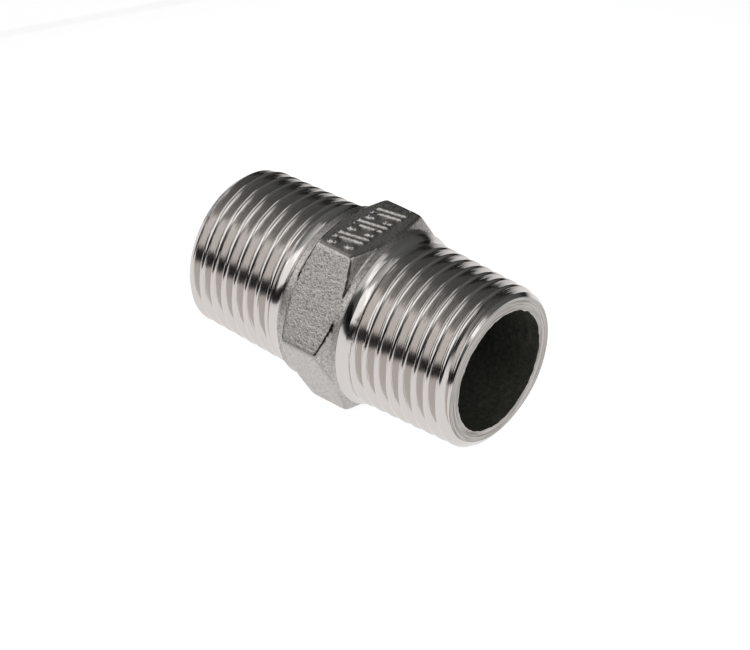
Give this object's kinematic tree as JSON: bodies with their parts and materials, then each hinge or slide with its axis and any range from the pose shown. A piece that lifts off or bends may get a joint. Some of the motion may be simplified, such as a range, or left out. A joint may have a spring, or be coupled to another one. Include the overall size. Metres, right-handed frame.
{
  "type": "hex nipple",
  "caption": "Stainless steel hex nipple: a short pipe joint with an external taper thread on each end, a hexagon between them and a bore straight through.",
  "frame": {"origin": "centre of the hexagon, on the bore's axis, which is the middle of the part's box", "axes": "+X along the bore; +Z out through a hexagon flat, so the part lies on the flat at -Z; hexagon corners on +Y and -Y"},
  "size_m": [0.041, 0.0258, 0.0224],
  "materials": {
    "stainless_steel": "cast stainless steel, bright turned threads, grained hexagon, rough dark bore"
  },
  "bodies": {
    "root": {"nipple_body": "stainless_steel"}
  },
  "joints": []
}
